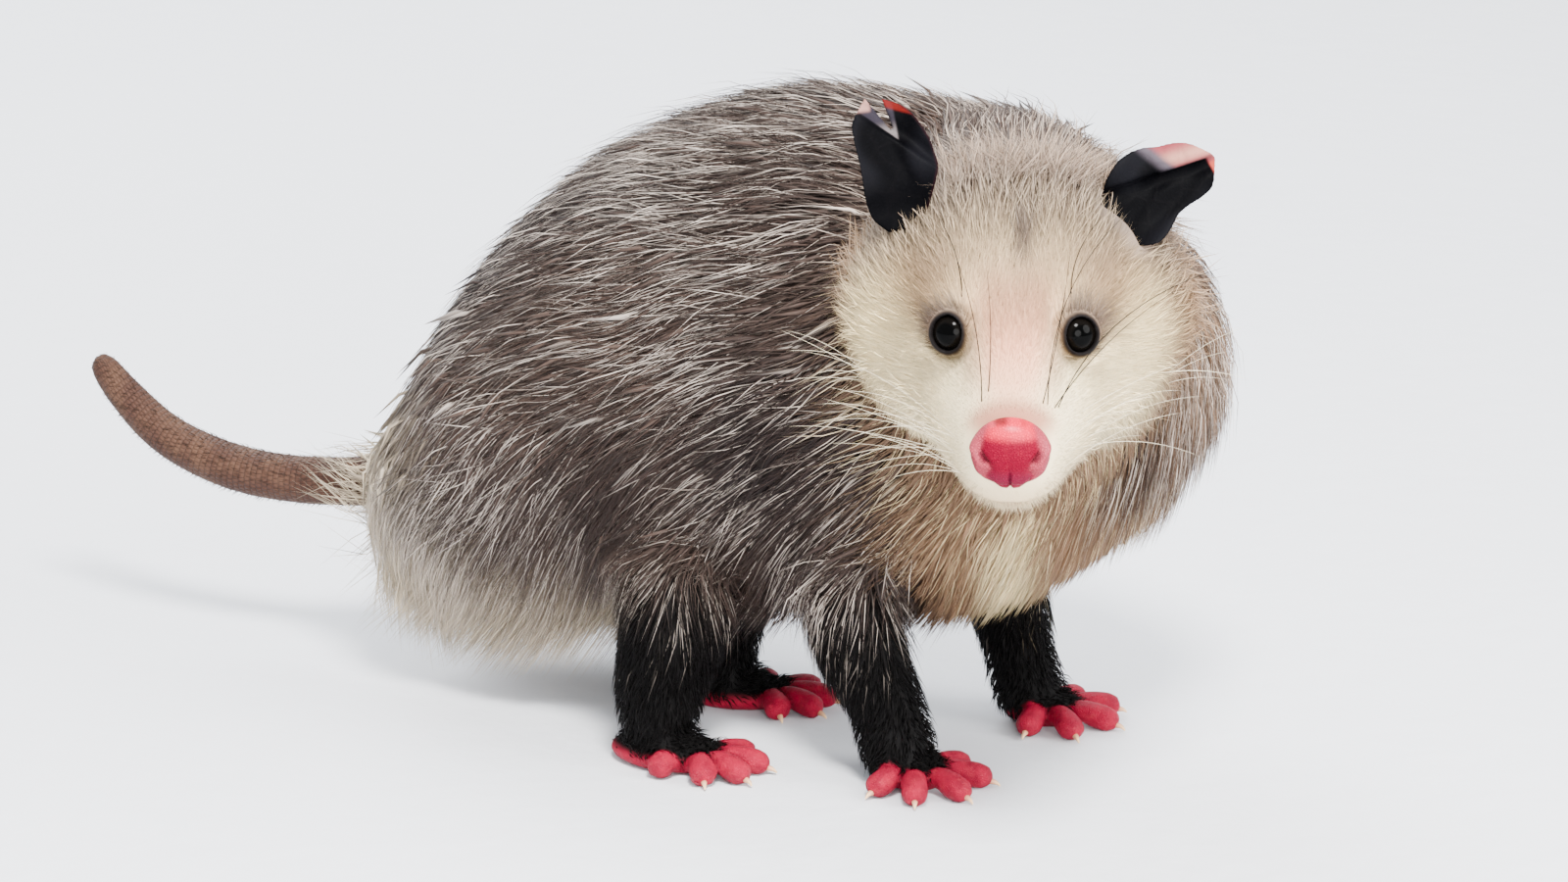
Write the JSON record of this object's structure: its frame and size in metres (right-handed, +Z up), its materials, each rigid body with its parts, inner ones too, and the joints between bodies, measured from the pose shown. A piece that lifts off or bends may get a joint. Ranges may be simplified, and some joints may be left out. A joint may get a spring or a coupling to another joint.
{
  "type": "opossum",
  "caption": "Still life-size model of a grizzled opossum standing on four feet, head turned to its right, bare ears and tail.",
  "frame": {"origin": "on the floor under the middle of the whole animal's bounding box", "axes": "-Y the way the body faces, +X its left side, +Z up"},
  "size_m": [0.226, 0.4062, 0.2272],
  "materials": {
    "coat": "long grizzled guard hair over dark underfur",
    "face_fur": "short pale fur",
    "leg_fur": "short black fur",
    "ear_skin": "thin bare skin, satin, with pink tips",
    "nose_skin": "moist bare skin",
    "foot_skin": "bare pink skin with pale claws",
    "tail_skin": "fine scales with sparse bristles",
    "eye": "polished black"
  },
  "bodies": {
    "root": {"head": "face_fur", "lower_jaw": "face_fur", "nose": "nose_skin", "ear_left": "ear_skin", "ear_right": "ear_skin", "eye_left": "eye", "eye_right": "eye", "neck": "coat", "torso": "coat", "foreleg_left": "leg_fur", "foreleg_right": "leg_fur", "hindleg_left": "leg_fur", "hindleg_right": "leg_fur", "forefoot_left": "foot_skin", "forefoot_right": "foot_skin", "hindfoot_left": "foot_skin", "hindfoot_right": "foot_skin", "tail_root": "tail_skin", "tail_middle": "tail_skin", "tail_tip": "tail_skin"}
  },
  "joints": []
}
